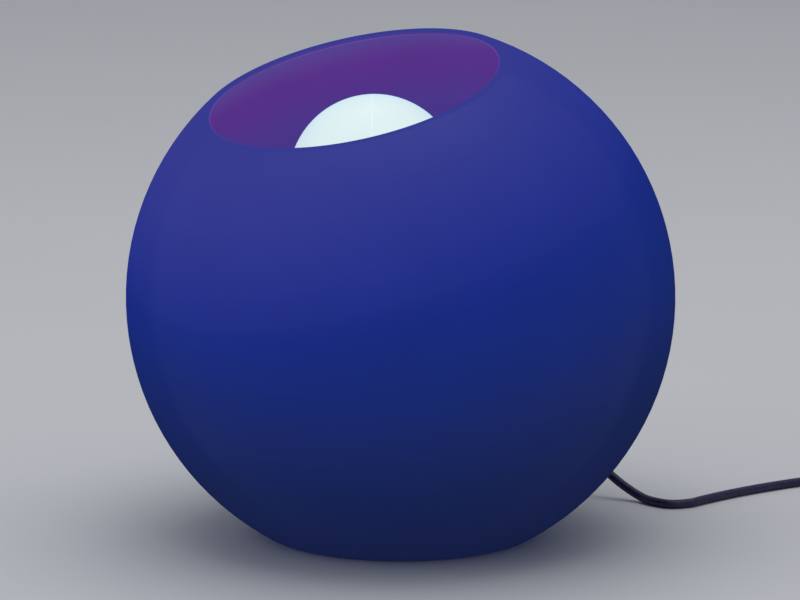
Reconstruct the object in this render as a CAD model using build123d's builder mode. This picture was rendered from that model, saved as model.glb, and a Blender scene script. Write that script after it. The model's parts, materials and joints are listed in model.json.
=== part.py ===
from build123d import *

import os
from math import cos, radians, sin, sqrt

# Corded globe lamp. A satin glass globe stands on a flat foot and opens at a slanted mouth. Inside it
# a weighted insert holds an E27 lampholder and a globe bulb on the mouth's axis. The cord leaves
# through a grommet in the back wall and runs over the floor to a rocker switch and a flat plug.
# Millimetres, +Z up, origin on the floor under the centre of the foot. The mouth leans towards -Y
# and the cord leaves towards +Y.

# ---------------------------------------------------------------- driving dimensions
GLOBE_R = 150.0
WALL = 3.5
GLASS_FLOOR = 4.5
FELT = 1.0
FELT_R = 71.0
FOOT_DROP = 130.2  # globe centre above the underside of the glass
TILT = 16.5  # lean of the mouth, lampholder and bulb, in degrees
MOUTH = 123.6  # mouth plane from the globe centre, along the leaning axis

CORD_R = 2.5
FIT = 0.05  # radial clearance of a close fit
CORD_DIP = 35.0  # the cord hole looks this many degrees below the globe's equator
CORD_HOLE_R = 4.75
GROMMET_R = 7.5
CORD_LOW = 21.5  # height of the cord where it crosses the weight

THREAD_PITCH = 3.629  # E27: seven turns to the inch
THREAD_PATH_R = 12.0  # both the bulb's ridge and the shell's groove follow this helix
RIDGE_R = 1.15
GROOVE_R = 1.35
CAP_ROOT_R = 12.05
SHELL_BORE_R = 12.3
RIDGE_START = -15.5
RIDGE_TURNS = 4

BULB_R = 46.5
BULB_CENTRE = 70.0  # distances along the leaning axis are measured from the globe centre
BULB_WALL = 1.6
BULB_SKIRT = 34.5  # where the diffuser meets the white housing
CAP_TIP = -21.5
CAP_RIM = 5.0

HOLDER_R = 20.0
HOLDER_TOP = 3.0
SLEEVE_LOW = -38.0
SPIGOT_R = 17.4
SPIGOT_TOP = -34.0
INSULATOR_TOP = -24.0
CAP_BASE = -58.0
BELL_TOP = -88.0
BELL_LOW = -130.0
ROD_R = 5.0
ROD_BORE = 3.8
NUT_FLATS = 14.0

WEIGHT_R = 68.0
WEIGHT_T = 10.0
PAD_T = 1.5
SCREW_SPREAD = 13.0
SCREW_ROW = 36.0
SCREW_R = 1.95

SWITCH_X, SWITCH_Y = 150.0, 310.0
SWITCH_L, SWITCH_W, SWITCH_H = 64.0, 27.0, 19.0
SWITCH_SPLIT = 8.5
SWITCH_SKIN = 1.8
ROCKER_PIVOT = 14.5
ROCKER_TILT = 7.0
SEESAW_PIVOT = 6.0
SEESAW_TILT = 5.0

PLUG_X, PLUG_Y = 240.0, 150.0
PLUG_W, PLUG_T, PLUG_DEPTH = 35.3, 13.7, 36.0
PIN_R = 2.0
PIN_L = 19.0
PIN_SLEEVE_L = 10.0
PIN_SPACING = 18.6

# ---------------------------------------------------------------- frames
CENTRE_Z = FELT + FOOT_DROP
FLOOR_IN = FELT + GLASS_FLOOR
lean = radians(TILT)
CENTRE = Vector(0, 0, CENTRE_Z)
UP = Vector(0, -sin(lean), cos(lean))
BACK = Vector(0, cos(lean), sin(lean))
LAMP_AXIS = Axis(CENTRE, UP)
LAMP = Plane(origin=CENTRE, x_dir=(1, 0, 0), z_dir=UP)
LAMP_SECTION = Plane(origin=CENTRE, x_dir=(1, 0, 0), z_dir=-BACK)

dip = radians(CORD_DIP)
CORD_OUT = Vector(0, cos(dip), -sin(dip))
CORD_AXIS = Axis(CENTRE, CORD_OUT)
CORD_HOLE = Plane(origin=CENTRE, x_dir=(1, 0, 0), z_dir=CORD_OUT)
CORD_SECTION = Plane(origin=CENTRE, x_dir=(1, 0, 0), z_dir=(0, sin(dip), cos(dip)))

SWITCH = Plane(origin=(SWITCH_X, SWITCH_Y, 0))
SWITCH_LONG = Plane(origin=(SWITCH_X, SWITCH_Y, 0), x_dir=(0, 1, 0), z_dir=(1, 0, 0))
rock = radians(ROCKER_TILT)
rocker_pivot = (SWITCH_X, SWITCH_Y, ROCKER_PIVOT)
ROCKER_SIDE = Plane(origin=rocker_pivot, x_dir=(cos(rock), 0, sin(rock)), z_dir=(0, -1, 0))
ROCKER_DOWN = Plane(origin=rocker_pivot, x_dir=(0, 1, 0), z_dir=(sin(rock), 0, -cos(rock)))
see = radians(SEESAW_TILT)
seesaw_pivot = (SWITCH_X, SWITCH_Y, SEESAW_PIVOT)
SEESAW_SIDE = Plane(origin=seesaw_pivot, x_dir=(cos(see), 0, -sin(see)), z_dir=(0, -1, 0))
SEESAW_DOWN = Plane(origin=seesaw_pivot, x_dir=(cos(see), 0, -sin(see)), z_dir=(-sin(see), 0, -cos(see)))

PLUG = Plane(origin=(PLUG_X, PLUG_Y, PLUG_T / 2), x_dir=(1, 0, 0), z_dir=(0, -1, 0))
PLUG_FLAT = Plane(origin=(PLUG_X, PLUG_Y, PLUG_T / 2))


# ---------------------------------------------------------------- small tools for an open part
def turn(*points, section=LAMP_SECTION, axis=LAMP_AXIS, mode=Mode.ADD):
    """Revolve a closed outline of (radius, distance along the axis) points."""
    with BuildSketch(section) as outline:
        with BuildLine():
            Polyline(*points, close=True)
        make_face()
    revolve(outline.sketch, axis=axis, mode=mode)


def bar(plane, radius, start, end, at=(0, 0), mode=Mode.ADD):
    """A round bar along a plane's normal, between two distances from the plane."""
    with BuildSketch(plane.offset(start)) as outline:
        with Locations(at):
            Circle(radius)
    extrude(outline.sketch, amount=end - start, mode=mode)


def block(plane, across, up, start, end, mode=Mode.ADD):
    """A box along a plane's normal, from (low, high) pairs in the plane's own two directions."""
    with BuildSketch(plane.offset(start)) as outline:
        with Locations((sum(across) / 2, sum(up) / 2)):
            Rectangle(across[1] - across[0], up[1] - up[0])
    extrude(outline.sketch, amount=end - start, mode=mode)


def slab(plane, points, half, mode=Mode.ADD):
    """A closed outline in a plane, thickened by half to each side."""
    with BuildSketch(plane) as outline:
        with BuildLine():
            Polyline(*points, close=True)
        make_face()
    extrude(outline.sketch, amount=half, both=True, mode=mode)


def wind(centre, direction, pitch, height, path_r, wire_r, mode=Mode.ADD):
    """A round wire wound into a helix."""
    with BuildLine() as path:
        Helix(pitch, height, path_r, center=centre, direction=direction)
    with BuildSketch(Plane(origin=path.line @ 0, z_dir=path.line % 0)) as outline:
        Circle(wire_r)
    sweep(outline.sketch, path=path.line, is_frenet=True, mode=mode)


def run(radius, *points, tangents):
    """A round wire along a smooth curve."""
    with BuildLine() as path:
        Spline(*points, tangents=tangents)
    with BuildSketch(Plane(origin=path.line @ 0, z_dir=path.line % 0)) as outline:
        Circle(radius)
    sweep(outline.sketch, path=path.line)


def slice_radius(radius, height):
    """Radius of a sphere's slice at a height from its centre."""
    return sqrt(radius * radius - height * height)


def on_axis(distance, across=0.0):
    """A point on the leaning axis, moved sideways along X."""
    return CENTRE + UP * distance + Vector(across, 0, 0)


def on_cord(distance):
    """A point on the axis of the cord's hole."""
    return CENTRE + CORD_OUT * distance


def in_switch(along, across, height):
    """A point in the switch's own frame."""
    return Vector(SWITCH_X + along, SWITCH_Y + across, height)


def save(builder, name):
    """Label a finished piece and write its STEP file."""
    builder.part.label = name
    export_step(builder.part, f"parts/{name}.step")


os.makedirs("parts", exist_ok=True)

# ---------------------------------------------------------------- globe, felt and grommet
HOLLOW_R = GLOBE_R - WALL
# The space inside the glass. Its floor is flattened too, so that the weight stands level.
with BuildPart() as globe_hollow:
    with BuildSketch(LAMP_SECTION):
        with BuildLine():
            rim = (slice_radius(HOLLOW_R, MOUTH), MOUTH)
            ThreePointArc((0, -HOLLOW_R), (HOLLOW_R, 0), rim)
            Polyline(rim, (rim[0], MOUTH + WALL), (0, MOUTH + WALL), (0, -HOLLOW_R))
        make_face()
    revolve(axis=LAMP_AXIS)
    split(bisect_by=Plane.XY.offset(FLOOR_IN), keep=Keep.TOP)
    fillet(globe_hollow.edges().group_by(Axis.Z)[0], 6)

with BuildPart() as globe_shade:
    with BuildSketch(LAMP_SECTION):
        with BuildLine():
            rim = (slice_radius(GLOBE_R, MOUTH), MOUTH)
            ThreePointArc((0, -GLOBE_R), (GLOBE_R, 0), rim)
            Polyline(rim, (0, MOUTH), (0, -GLOBE_R))
        make_face()
    revolve(axis=LAMP_AXIS)
    split(bisect_by=Plane.XY.offset(FELT), keep=Keep.TOP)
    fillet(globe_shade.edges().group_by(Axis.Z)[0], 3)
    add(globe_hollow.part, mode=Mode.SUBTRACT)
    fillet(globe_shade.edges().group_by(LAMP_AXIS)[-1], 0.3)
    bar(CORD_HOLE, CORD_HOLE_R, GLOBE_R - 12, GLOBE_R + 4, mode=Mode.SUBTRACT)
save(globe_shade, "globe_shade")

with BuildPart() as foot_felt:
    bar(Plane.XY, FELT_R, 0, FELT)
save(foot_felt, "foot_felt")

GROMMET_IN = HOLLOW_R - 0.35
GROOVE_FLOOR = CORD_HOLE_R - FIT
with BuildPart() as cord_grommet:
    turn(
        (CORD_R + FIT, GROMMET_IN - 2.2), (GROMMET_R - 1.2, GROMMET_IN - 2.2),
        (GROMMET_R, GROMMET_IN - 1.2), (GROMMET_R, GROMMET_IN),
        (GROOVE_FLOOR, GROMMET_IN), (GROOVE_FLOOR, GLOBE_R),
        (GROMMET_R, GLOBE_R), (GROMMET_R, GLOBE_R + 1),
        (GROMMET_R - 1.5, GLOBE_R + 2.2), (CORD_R + FIT, GLOBE_R + 2.6),
        section=CORD_SECTION, axis=CORD_AXIS,
    )
save(cord_grommet, "cord_grommet")

# A split nylon ring on the cord, inside the wall, that takes any pull on the cord.
STOP_END = GROMMET_IN - 3
STOP_L = 6.0
with BuildPart() as cord_stop:
    bar(CORD_HOLE, 5.2, STOP_END - STOP_L, STOP_END)
    chamfer(cord_stop.edges().filter_by(GeomType.CIRCLE), 0.8)
    bar(CORD_HOLE, CORD_R + FIT, STOP_END - STOP_L, STOP_END, mode=Mode.SUBTRACT)
    block(CORD_HOLE, (-0.5, 0.5), (2, 6), STOP_END - STOP_L, STOP_END, mode=Mode.SUBTRACT)
save(cord_stop, "cord_stop")

# ---------------------------------------------------------------- weighted base of the insert
WEIGHT_Z = FLOOR_IN + PAD_T
DISC_TOP = WEIGHT_Z + WEIGHT_T
SCREW_HEAD_R = 3.6
SCREW_HEAD_Z = WEIGHT_Z + 0.6
SCREW_TIP_Z = DISC_TOP + 8
SINK_R = SCREW_HEAD_R + 0.8

with BuildPart() as weight_pad:
    bar(Plane.XY, WEIGHT_R - 2, FLOOR_IN, WEIGHT_Z)
save(weight_pad, "weight_pad")

with BuildPart() as weight_disc:
    bar(Plane.XY, WEIGHT_R, WEIGHT_Z, DISC_TOP)
    chamfer(weight_disc.edges().group_by(Axis.Z)[-1], 2)
    for side in (-1, 1):
        with Locations(Plane(origin=(side * SCREW_SPREAD, SCREW_ROW, WEIGHT_Z), z_dir=(0, 0, -1))):
            CounterSinkHole(SCREW_R + 0.25, SINK_R, depth=WEIGHT_T, counter_sink_angle=90)
save(weight_disc, "weight_disc")

# The space under the bell, less two bosses for the screws that come up through the weight.
with BuildPart() as bell_cavity:
    turn((0, BELL_TOP - 4), (8.6, BELL_TOP - 4), (22.8, BELL_LOW), (0, BELL_LOW))
    for side in (-1, 1):
        bar(Plane.XY, 4.5, 0, DISC_TOP + 14, at=(side * SCREW_SPREAD, SCREW_ROW), mode=Mode.SUBTRACT)

with BuildPart() as stem_bell:
    with BuildSketch(LAMP_SECTION):
        with BuildLine():
            flare = Spline((11, BELL_TOP), (25.5, BELL_LOW), tangents=((0.05, -1), (0.6, -1)))
            Polyline(flare @ 1, (0, BELL_LOW), (0, BELL_TOP), flare @ 0)
        make_face()
    revolve(axis=LAMP_AXIS)
    split(bisect_by=Plane.XY.offset(DISC_TOP), keep=Keep.TOP)
    fillet(stem_bell.edges().group_by(LAMP_AXIS)[-1], 1.2)
    add(bell_cavity.part, mode=Mode.SUBTRACT)
    bar(LAMP, ROD_R + 0.1, BELL_TOP - 6, BELL_TOP + 1, mode=Mode.SUBTRACT)
    for side in (-1, 1):
        place = (side * SCREW_SPREAD, SCREW_ROW)
        bar(Plane.XY, SCREW_R + FIT, DISC_TOP - 1, SCREW_TIP_Z + 1, at=place, mode=Mode.SUBTRACT)
    with BuildSketch(Plane.XZ.offset(-SCREW_ROW)):
        with Locations((0, CORD_LOW)):
            Circle(CORD_R + 0.7)
    extrude(amount=-40, mode=Mode.SUBTRACT)
save(stem_bell, "stem_bell")

with BuildPart() as bell_screws:
    for side in (-1, 1):
        bar(Plane.XY, SCREW_R, SCREW_HEAD_Z, SCREW_TIP_Z, at=(side * SCREW_SPREAD, SCREW_ROW))
        with Locations((side * SCREW_SPREAD, SCREW_ROW, SCREW_HEAD_Z)):
            low = (Align.CENTER, Align.CENTER, Align.MIN)
            Cone(SCREW_HEAD_R, SCREW_R, SCREW_HEAD_R - SCREW_R, align=low)
            Box(4.6, 0.9, 1.2, align=low, mode=Mode.SUBTRACT)
            Box(0.9, 4.6, 1.2, align=low, mode=Mode.SUBTRACT)
save(bell_screws, "bell_screws")

# ---------------------------------------------------------------- stem
BELL_CEILING = BELL_TOP - 4
WASHER_T = 0.8
NUT_T = 4.0
NUT_LOW = BELL_CEILING - WASHER_T - NUT_T
with BuildPart() as stem_washer:
    bar(LAMP, 8.2, BELL_CEILING - WASHER_T, BELL_CEILING)
    bar(LAMP, ROD_R + 0.2, BELL_CEILING - WASHER_T, BELL_CEILING, mode=Mode.SUBTRACT)
save(stem_washer, "stem_washer")

with BuildPart() as stem_nut:
    with BuildSketch(LAMP.offset(NUT_LOW)):
        RegularPolygon(NUT_FLATS / 2, 6, major_radius=False)
        Circle(ROD_R + FIT, mode=Mode.SUBTRACT)
    extrude(amount=NUT_T)
save(stem_nut, "stem_nut")

ROD_LOW = NUT_LOW - 2
ROD_HIGH = CAP_BASE + 7
with BuildPart() as threaded_rod:
    bar(LAMP, ROD_R, ROD_LOW, ROD_HIGH)
    chamfer(threaded_rod.edges().filter_by(GeomType.CIRCLE), 0.5)
    bar(LAMP, ROD_BORE, ROD_LOW, ROD_HIGH, mode=Mode.SUBTRACT)
save(threaded_rod, "threaded_rod")

with BuildPart() as stem_tube:
    bar(LAMP, 8.0, BELL_TOP, CAP_BASE)
    bar(LAMP, 6.9, BELL_TOP, CAP_BASE, mode=Mode.SUBTRACT)
save(stem_tube, "stem_tube")

# ---------------------------------------------------------------- lampholder
GRUB_AT = CAP_BASE + 2.8
GRUB = Plane(origin=on_axis(GRUB_AT), x_dir=(0, 1, 0), z_dir=(1, 0, 0))
with BuildPart() as holder_base_cap:
    turn(
        (0, CAP_BASE), (9, CAP_BASE), (9, -53), (HOLDER_R, -43), (HOLDER_R, SLEEVE_LOW),
        (SPIGOT_R, SLEEVE_LOW), (SPIGOT_R, SPIGOT_TOP), (0, SPIGOT_TOP),
    )
    turn((0, SPIGOT_TOP), (15.6, SPIGOT_TOP), (15.6, -42.5), (7, -50), (0, -50), mode=Mode.SUBTRACT)
    bar(LAMP, ROD_R + FIT, CAP_BASE, -49, mode=Mode.SUBTRACT)
    bar(GRUB, 1.5 + FIT, 0, 10, mode=Mode.SUBTRACT)
save(holder_base_cap, "holder_base_cap")

with BuildPart() as holder_grub_screw:
    bar(GRUB, 1.5, ROD_R + FIT, 8.8)
    with BuildSketch(GRUB.offset(8.8)):
        RegularPolygon(0.8, 6)
    extrude(amount=-1.5, mode=Mode.SUBTRACT)
save(holder_grub_screw, "holder_grub_screw")

LEDGE = INSULATOR_TOP + 0.1
with BuildPart() as holder_sleeve:
    turn(
        (17.5, SLEEVE_LOW), (HOLDER_R, SLEEVE_LOW), (HOLDER_R, HOLDER_TOP - 1.5),
        (HOLDER_R - 1.2, HOLDER_TOP), (16.9, HOLDER_TOP), (16.9, LEDGE), (17.5, LEDGE),
    )
save(holder_sleeve, "holder_sleeve")

BLOCK_LOW, BLOCK_HIGH = -33.8, -27.5
BLOCK_IN, BLOCK_OUT, BLOCK_HALF = 5.0, 12.0, 3.5
CLAMP_AT = -31.0
WIRE_X = 8.5
WIRE_R = 0.9
SIDES = (-1, 1)


def clamp_plane(side):
    """The plane a lampholder terminal's screw stands on, pointing away from the axis."""
    return Plane(origin=on_axis(CLAMP_AT), x_dir=BACK, z_dir=(side, 0, 0))


def span(side, low, high):
    """A (low, high) pair mirrored to one side."""
    return (side * low, side * high) if side > 0 else (side * high, side * low)


with BuildPart() as holder_insulator:
    turn((0, SPIGOT_TOP), (17.3, SPIGOT_TOP), (17.3, INSULATOR_TOP), (0, INSULATOR_TOP))
    turn((14.4, INSULATOR_TOP - 1), (16.5, INSULATOR_TOP - 1), (16.5, -16), (14.4, -16))
    for side in SIDES:
        pocket = span(side, BLOCK_IN - 0.1, BLOCK_OUT + 0.1)
        half = BLOCK_HALF + 0.1
        block(LAMP, pocket, (-half, half), SPIGOT_TOP, BLOCK_HIGH, mode=Mode.SUBTRACT)
        bar(clamp_plane(side), 2.9, BLOCK_OUT, 18, mode=Mode.SUBTRACT)
    block(LAMP, (5.3, 6.7), (-2.7, 2.7), BLOCK_HIGH - 1, INSULATOR_TOP, mode=Mode.SUBTRACT)
    block(LAMP, (-11.7, -10.3), (-2.7, 2.7), BLOCK_HIGH - 1, INSULATOR_TOP, mode=Mode.SUBTRACT)
    block(LAMP, (-13.6, -8.8), (-2.7, 2.7), INSULATOR_TOP - 0.8, INSULATOR_TOP, mode=Mode.SUBTRACT)
save(holder_insulator, "holder_insulator")

# The thread's groove is wound in a taller blank, so that it still runs out at the trimmed top.
SHELL_TOP = 1.0
BLANK_TOP = SHELL_TOP + 5
with BuildPart() as screw_shell:
    bar(LAMP, 14.2, INSULATOR_TOP, BLANK_TOP)
    bar(LAMP, SHELL_BORE_R, INSULATOR_TOP + 0.6, BLANK_TOP, mode=Mode.SUBTRACT)
    bar(LAMP, 8.5, INSULATOR_TOP, INSULATOR_TOP + 1, mode=Mode.SUBTRACT)
    start = on_axis(RIDGE_START - THREAD_PITCH)
    wind(start, UP, THREAD_PITCH, 6 * THREAD_PITCH, THREAD_PATH_R, GROOVE_R, mode=Mode.SUBTRACT)
    split(bisect_by=LAMP.offset(SHELL_TOP), keep=Keep.BOTTOM)
save(screw_shell, "screw_shell")

with BuildPart() as centre_contact:
    slab(
        LAMP_SECTION,
        [
            (5.6, BLOCK_HIGH), (6.4, BLOCK_HIGH), (6.4, -23.2), (2.6, -21.6), (-3.2, -21.6),
            (-3.2, -22.2), (2.4, -22.2), (5.6, -23.6),
        ],
        2.5,
    )
save(centre_contact, "centre_contact")

with BuildPart() as shell_contact:
    slab(
        LAMP_SECTION,
        [
            (-11.4, BLOCK_HIGH), (-10.6, BLOCK_HIGH), (-10.6, INSULATOR_TOP - 0.7),
            (-9, INSULATOR_TOP - 0.7), (-9, INSULATOR_TOP), (-13.4, INSULATOR_TOP),
            (-13.4, INSULATOR_TOP - 0.7), (-11.4, INSULATOR_TOP - 0.7),
        ],
        2.5,
    )
save(shell_contact, "shell_contact")

with BuildPart() as holder_terminals:
    for side in SIDES:
        block(LAMP, span(side, BLOCK_IN, BLOCK_OUT), (-BLOCK_HALF, BLOCK_HALF), BLOCK_LOW, BLOCK_HIGH)
        bar(LAMP, WIRE_R + 0.1, BLOCK_LOW, BLOCK_HIGH - 1.2, at=(side * WIRE_X, 0), mode=Mode.SUBTRACT)
        bar(clamp_plane(side), 1.45, WIRE_X, BLOCK_OUT, mode=Mode.SUBTRACT)
save(holder_terminals, "holder_terminals")

with BuildPart() as holder_clamp_screws:
    for side in SIDES:
        bar(clamp_plane(side), 1.4, WIRE_X + WIRE_R + FIT, 14.2)
        bar(clamp_plane(side), 2.6, 14, 16)
        block(clamp_plane(side), (-3, 3), (-0.4, 0.4), 15, 16.5, mode=Mode.SUBTRACT)
save(holder_clamp_screws, "holder_clamp_screws")

CORD_END = -46.0
with BuildPart() as holder_live_wire:
    run(WIRE_R, on_axis(CORD_END, 1.2), on_axis(BLOCK_LOW - 1, WIRE_X), tangents=(UP, UP))
    bar(LAMP, WIRE_R, BLOCK_LOW - 1, BLOCK_HIGH - 1.5, at=(WIRE_X, 0))
save(holder_live_wire, "holder_live_wire")

with BuildPart() as holder_neutral_wire:
    run(WIRE_R, on_axis(CORD_END, -1.2), on_axis(BLOCK_LOW - 1, -WIRE_X), tangents=(UP, UP))
    bar(LAMP, WIRE_R, BLOCK_LOW - 1, BLOCK_HIGH - 1.5, at=(-WIRE_X, 0))
save(holder_neutral_wire, "holder_neutral_wire")

# ---------------------------------------------------------------- bulb
with BuildPart() as bulb_cap_shell:
    bar(LAMP, CAP_ROOT_R, -17.5, CAP_RIM)
    wind(
        on_axis(RIDGE_START), UP, THREAD_PITCH, RIDGE_TURNS * THREAD_PITCH, THREAD_PATH_R, RIDGE_R,
    )
    bar(LAMP, 11.2, -16.9, CAP_RIM, mode=Mode.SUBTRACT)
    bar(LAMP, 9.5, -17.5, -16.5, mode=Mode.SUBTRACT)
save(bulb_cap_shell, "bulb_cap_shell")

with BuildPart() as bulb_cap_insulator:
    turn((0, -17.5), (10.8, -17.5), (6.4, CAP_TIP + 0.9), (0, CAP_TIP + 0.9))
save(bulb_cap_insulator, "bulb_cap_insulator")

with BuildPart() as bulb_cap_contact:
    turn((0, CAP_TIP + 0.9), (5.4, CAP_TIP + 0.9), (4.8, CAP_TIP + 0.3), (3.4, CAP_TIP), (0, CAP_TIP))
save(bulb_cap_contact, "bulb_cap_contact")

DECK = BULB_SKIRT + 1
DECK_LOW = DECK - 2.7
skirt_r = slice_radius(BULB_R, BULB_CENTRE - BULB_SKIRT)
with BuildPart() as bulb_housing:
    with BuildSketch(LAMP_SECTION):
        with BuildLine():
            slope = (BULB_CENTRE - BULB_SKIRT, skirt_r)
            flare = Spline((14.5, 9), (skirt_r, BULB_SKIRT), tangents=((0, 1), slope))
            Polyline(
                flare @ 1, (27.2, BULB_SKIRT), (27.2, DECK), (0, DECK), (0, -14), (11.1, -14),
                (11.1, CAP_RIM), (14.5, CAP_RIM), flare @ 0,
            )
        make_face()
    revolve(axis=LAMP_AXIS)
    with BuildSketch(LAMP_SECTION):
        with BuildLine():
            inner_flare = Spline((12.6, 9), (26, DECK_LOW), tangents=((0, 1), slope))
            Polyline(inner_flare @ 1, (0, DECK_LOW), (0, -14), (9.6, -14), (9.6, 7), inner_flare @ 0)
        make_face()
    revolve(axis=LAMP_AXIS, mode=Mode.SUBTRACT)
    bar(LAMP, 3, DECK_LOW - 1, DECK, mode=Mode.SUBTRACT)
save(bulb_housing, "bulb_housing")

# The dome is a thin ball, cut off where it meets the housing.
INNER_R = BULB_R - BULB_WALL
with BuildPart() as bulb_diffuser:
    with Locations(Location(on_axis(BULB_CENTRE))):
        Sphere(BULB_R)
        Sphere(INNER_R, mode=Mode.SUBTRACT)
    split(bisect_by=LAMP.offset(BULB_SKIRT), keep=Keep.TOP)
save(bulb_diffuser, "bulb_diffuser")

BOARD_TOP = DECK + 1.6
with BuildPart() as led_board:
    bar(LAMP, 26, DECK, BOARD_TOP)
    bar(LAMP, 2, DECK, BOARD_TOP, mode=Mode.SUBTRACT)
save(led_board, "led_board")

with BuildPart() as led_chips:
    with BuildSketch(LAMP.offset(BOARD_TOP)):
        with PolarLocations(21, 14):
            Rectangle(3.5, 2.8)
        with PolarLocations(11, 7):
            Rectangle(3.5, 2.8)
    extrude(amount=0.7)
save(led_chips, "led_chips")

with BuildPart() as driver_board:
    block(LAMP, (-8.5, 8.5), (-0.8, 0.8), -12, 30)
save(driver_board, "driver_board")

with BuildPart() as driver_capacitor:
    bar(LAMP, 4, 12, 24, at=(0, 4.8))
    fillet(driver_capacitor.edges().group_by(LAMP_AXIS)[-1], 0.6)
save(driver_capacitor, "driver_capacitor")

COIL = Plane(origin=on_axis(18), x_dir=(1, 0, 0), z_dir=-BACK)
with BuildPart() as driver_coil:
    bar(COIL, 4.6, 0.8, 1.8)
    bar(COIL, 3.6, 1.8, 5.6)
    bar(COIL, 4.6, 5.6, 6.6)
save(driver_coil, "driver_coil")

# ---------------------------------------------------------------- cords
BEND_R = 20.0
turn_angle = radians(90 - TILT)
rod_foot = (CENTRE_Z - CORD_LOW) / cos(lean)
reach = BEND_R * sin(turn_angle) / (1 + cos(turn_angle))
bend_y = rod_foot * sin(lean) + reach
SWITCH_CORD_END = 25.0

# Down the rod, through the bell, up the back wall, out at the grommet and over the floor.
with BuildPart() as lamp_cord:
    with BuildLine() as route:
        in_rod = Line(on_axis(CORD_END), on_axis(reach - rod_foot))
        bend = TangentArc(in_rod @ 1, (0, bend_y, CORD_LOW), tangent=-UP)
        in_bell = Line(bend @ 1, (0, 62, CORD_LOW))
        rise = Spline(
            in_bell @ 1, (0, 84, 41), (0, 99.5, 57.5), on_cord(134), tangents=((0, 1, 0), CORD_OUT)
        )
        in_grommet = Line(rise @ 1, on_cord(154))
        drop = Spline(
            in_grommet @ 1, (26.5, 143.8, 11.5), (44, 146.4, 3.4), (57.5, 145.2, CORD_R),
            tangents=(CORD_OUT, (1, 0.02, 0)),
        )
        corner = Spline(
            drop @ 1, (68, 148.2, CORD_R), (72.4, 157.5, CORD_R), (72.2, 169, CORD_R),
            tangents=((1, 0.02, 0), (-0.02, 1, 0)),
        )
        on_floor = Spline(
            corner @ 1, (76, 222, CORD_R), (91, 276, CORD_R), tangents=((-0.02, 1, 0), (0.4, 0.92, 0))
        )
        lift = Spline(
            on_floor @ 1, in_switch(-SWITCH_L / 2 - 2, 0, SWITCH_SPLIT),
            tangents=((0.4, 0.92, 0), (1, 0, 0)),
        )
        Line(lift @ 1, in_switch(-SWITCH_CORD_END, 0, SWITCH_SPLIT))
    with BuildSketch(Plane(origin=route.line @ 0, z_dir=-UP)):
        Circle(CORD_R)
    sweep()
save(lamp_cord, "lamp_cord")

PLUG_MID = PLUG_T / 2
BOOT_END = PLUG_DEPTH + 15
PLUG_CORD_END = PLUG_DEPTH - 5
with BuildPart() as supply_cord:
    with BuildLine() as route:
        in_case = Line(
            in_switch(SWITCH_CORD_END, 0, SWITCH_SPLIT), in_switch(SWITCH_L / 2 + 2, 0, SWITCH_SPLIT)
        )
        drop = Spline(in_case @ 1, (208, 303, CORD_R), tangents=((1, 0, 0), (0.86, -0.5, 0)))
        on_floor = Spline(
            drop @ 1, (232, 276, CORD_R), (PLUG_X, 236, CORD_R), tangents=((0.86, -0.5, 0), (0, -1, 0))
        )
        lift = Spline(
            on_floor @ 1, (PLUG_X, PLUG_Y + BOOT_END + 1, PLUG_MID), tangents=((0, -1, 0), (0, -1, 0))
        )
        Line(lift @ 1, (PLUG_X, PLUG_Y + PLUG_CORD_END, PLUG_MID))
    with BuildSketch(Plane(origin=route.line @ 0, z_dir=(1, 0, 0))):
        Circle(CORD_R)
    sweep()
save(supply_cord, "supply_cord")

# ---------------------------------------------------------------- inline switch
CAVITY_L = SWITCH_L - 2 * SWITCH_SKIN
CAVITY_W = SWITCH_W - 2 * SWITCH_SKIN
CASE_SCREWS = ((-22, -9.2), (22, 9.2))
CASE_BOSS_R = 2.9
PLATE_LOW, PLATE_HIGH = 3.05, 3.85
TERMINAL_IN, TERMINAL_OUT = 11.0, 16.5
TERMINAL_TOP = 8.5
POLE_Y = 5.5
POLE_HALF = 2.8
POLE_WIRE_Z = 6.0
CLAMP_IN, CLAMP_OUT = 27.0, 29.8

with BuildPart() as switch_lower_case:
    with BuildSketch(SWITCH):
        RectangleRounded(SWITCH_L, SWITCH_W, 7)
    extrude(amount=SWITCH_SPLIT)
    fillet(switch_lower_case.edges().group_by(Axis.Z)[0], 1.5)
    with BuildSketch(SWITCH.offset(SWITCH_SKIN)):
        RectangleRounded(CAVITY_L, CAVITY_W, 7 - SWITCH_SKIN)
    extrude(amount=SWITCH_H, mode=Mode.SUBTRACT)
    for side in SIDES:
        for pole in SIDES:
            pad = span(pole, POLE_Y - POLE_HALF, POLE_Y + POLE_HALF)
            block(SWITCH, span(side, TERMINAL_IN, TERMINAL_OUT), pad, SWITCH_SKIN, PLATE_LOW)
        block(SWITCH, span(side, CLAMP_IN, CLAMP_OUT), (-7, 7), SWITCH_SKIN, SWITCH_SPLIT - 0.4)
    block(SWITCH, (-4, 9), (-2.4, 1.2), SWITCH_SKIN, PLATE_LOW)
    with BuildSketch(SWITCH.offset(SWITCH_SKIN)):
        with Locations(*CASE_SCREWS):
            Circle(CASE_BOSS_R)
    extrude(amount=SWITCH_SPLIT - SWITCH_SKIN)
    bar(SWITCH_LONG, CORD_R + FIT, -SWITCH_L, SWITCH_L, at=(0, SWITCH_SPLIT), mode=Mode.SUBTRACT)
    with Locations(*[Plane(origin=in_switch(*place, 0), z_dir=(0, 0, -1)) for place in CASE_SCREWS]):
        CounterBoreHole(1.4, 2.3, 2.6, depth=SWITCH_SPLIT)
save(switch_lower_case, "switch_lower_case")

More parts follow.
